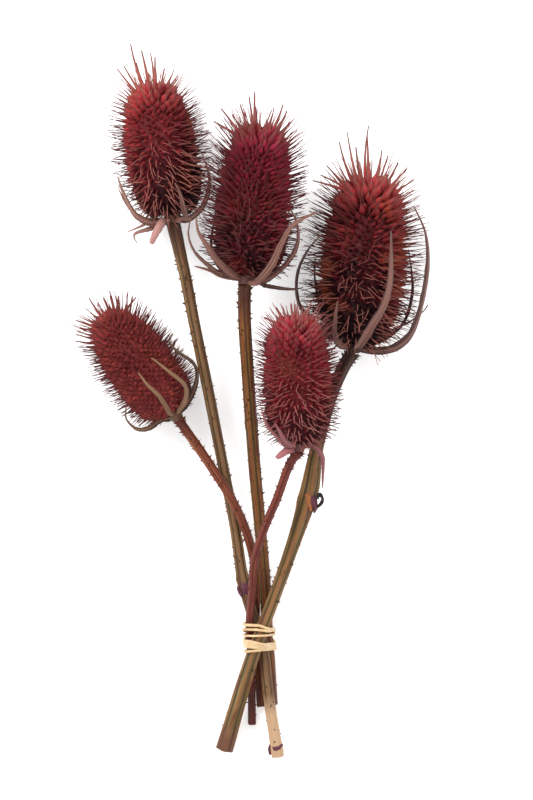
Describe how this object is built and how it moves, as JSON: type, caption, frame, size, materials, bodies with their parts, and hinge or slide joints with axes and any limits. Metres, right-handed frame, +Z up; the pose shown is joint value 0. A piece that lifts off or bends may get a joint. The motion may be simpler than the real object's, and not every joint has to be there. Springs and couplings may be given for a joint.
{
  "type": "tied bunch of dried teasel seed heads",
  "caption": "Bunch of dyed, dried teasel seed heads on ribbed prickly stems with curved bracts, held by a rubber band and lying on its side.",
  "frame": {"origin": "on the table, under the middle of the bunch's bounding box", "axes": "+Y along the bunch from the cut stem ends to the seed heads, +X across it to the right, +Z up"},
  "size_m": [0.1778, 0.3563, 0.0802],
  "materials": {
    "dyed_spines": "dried seed head, dyed crimson, matt, bristling with stiff spines",
    "dried_bracts": "dried papery bracts, brownish pink, matt",
    "stem_olive": "dried ribbed stem, olive tan",
    "stem_brown": "dried ribbed stem, olive brown",
    "stem_dark": "dried ribbed stem, dark olive with a purple node",
    "stem_red": "dried ribbed stem, reddish brown",
    "stem_maroon": "dried ribbed stem, maroon",
    "natural_rubber": "pale cream natural rubber band, satin"
  },
  "bodies": {
    "root": {"head_1": "dyed_spines", "bracts_1": "dried_bracts", "stem_1": "stem_olive", "head_2": "dyed_spines", "bracts_2": "dried_bracts", "stem_2": "stem_brown", "head_3": "dyed_spines", "bracts_3": "dried_bracts", "stem_3": "stem_dark", "head_4": "dyed_spines", "bracts_4": "dried_bracts", "stem_4": "stem_red", "head_5": "dyed_spines", "bracts_5": "dried_bracts", "stem_5": "stem_maroon", "tie": "natural_rubber"}
  },
  "joints": []
}
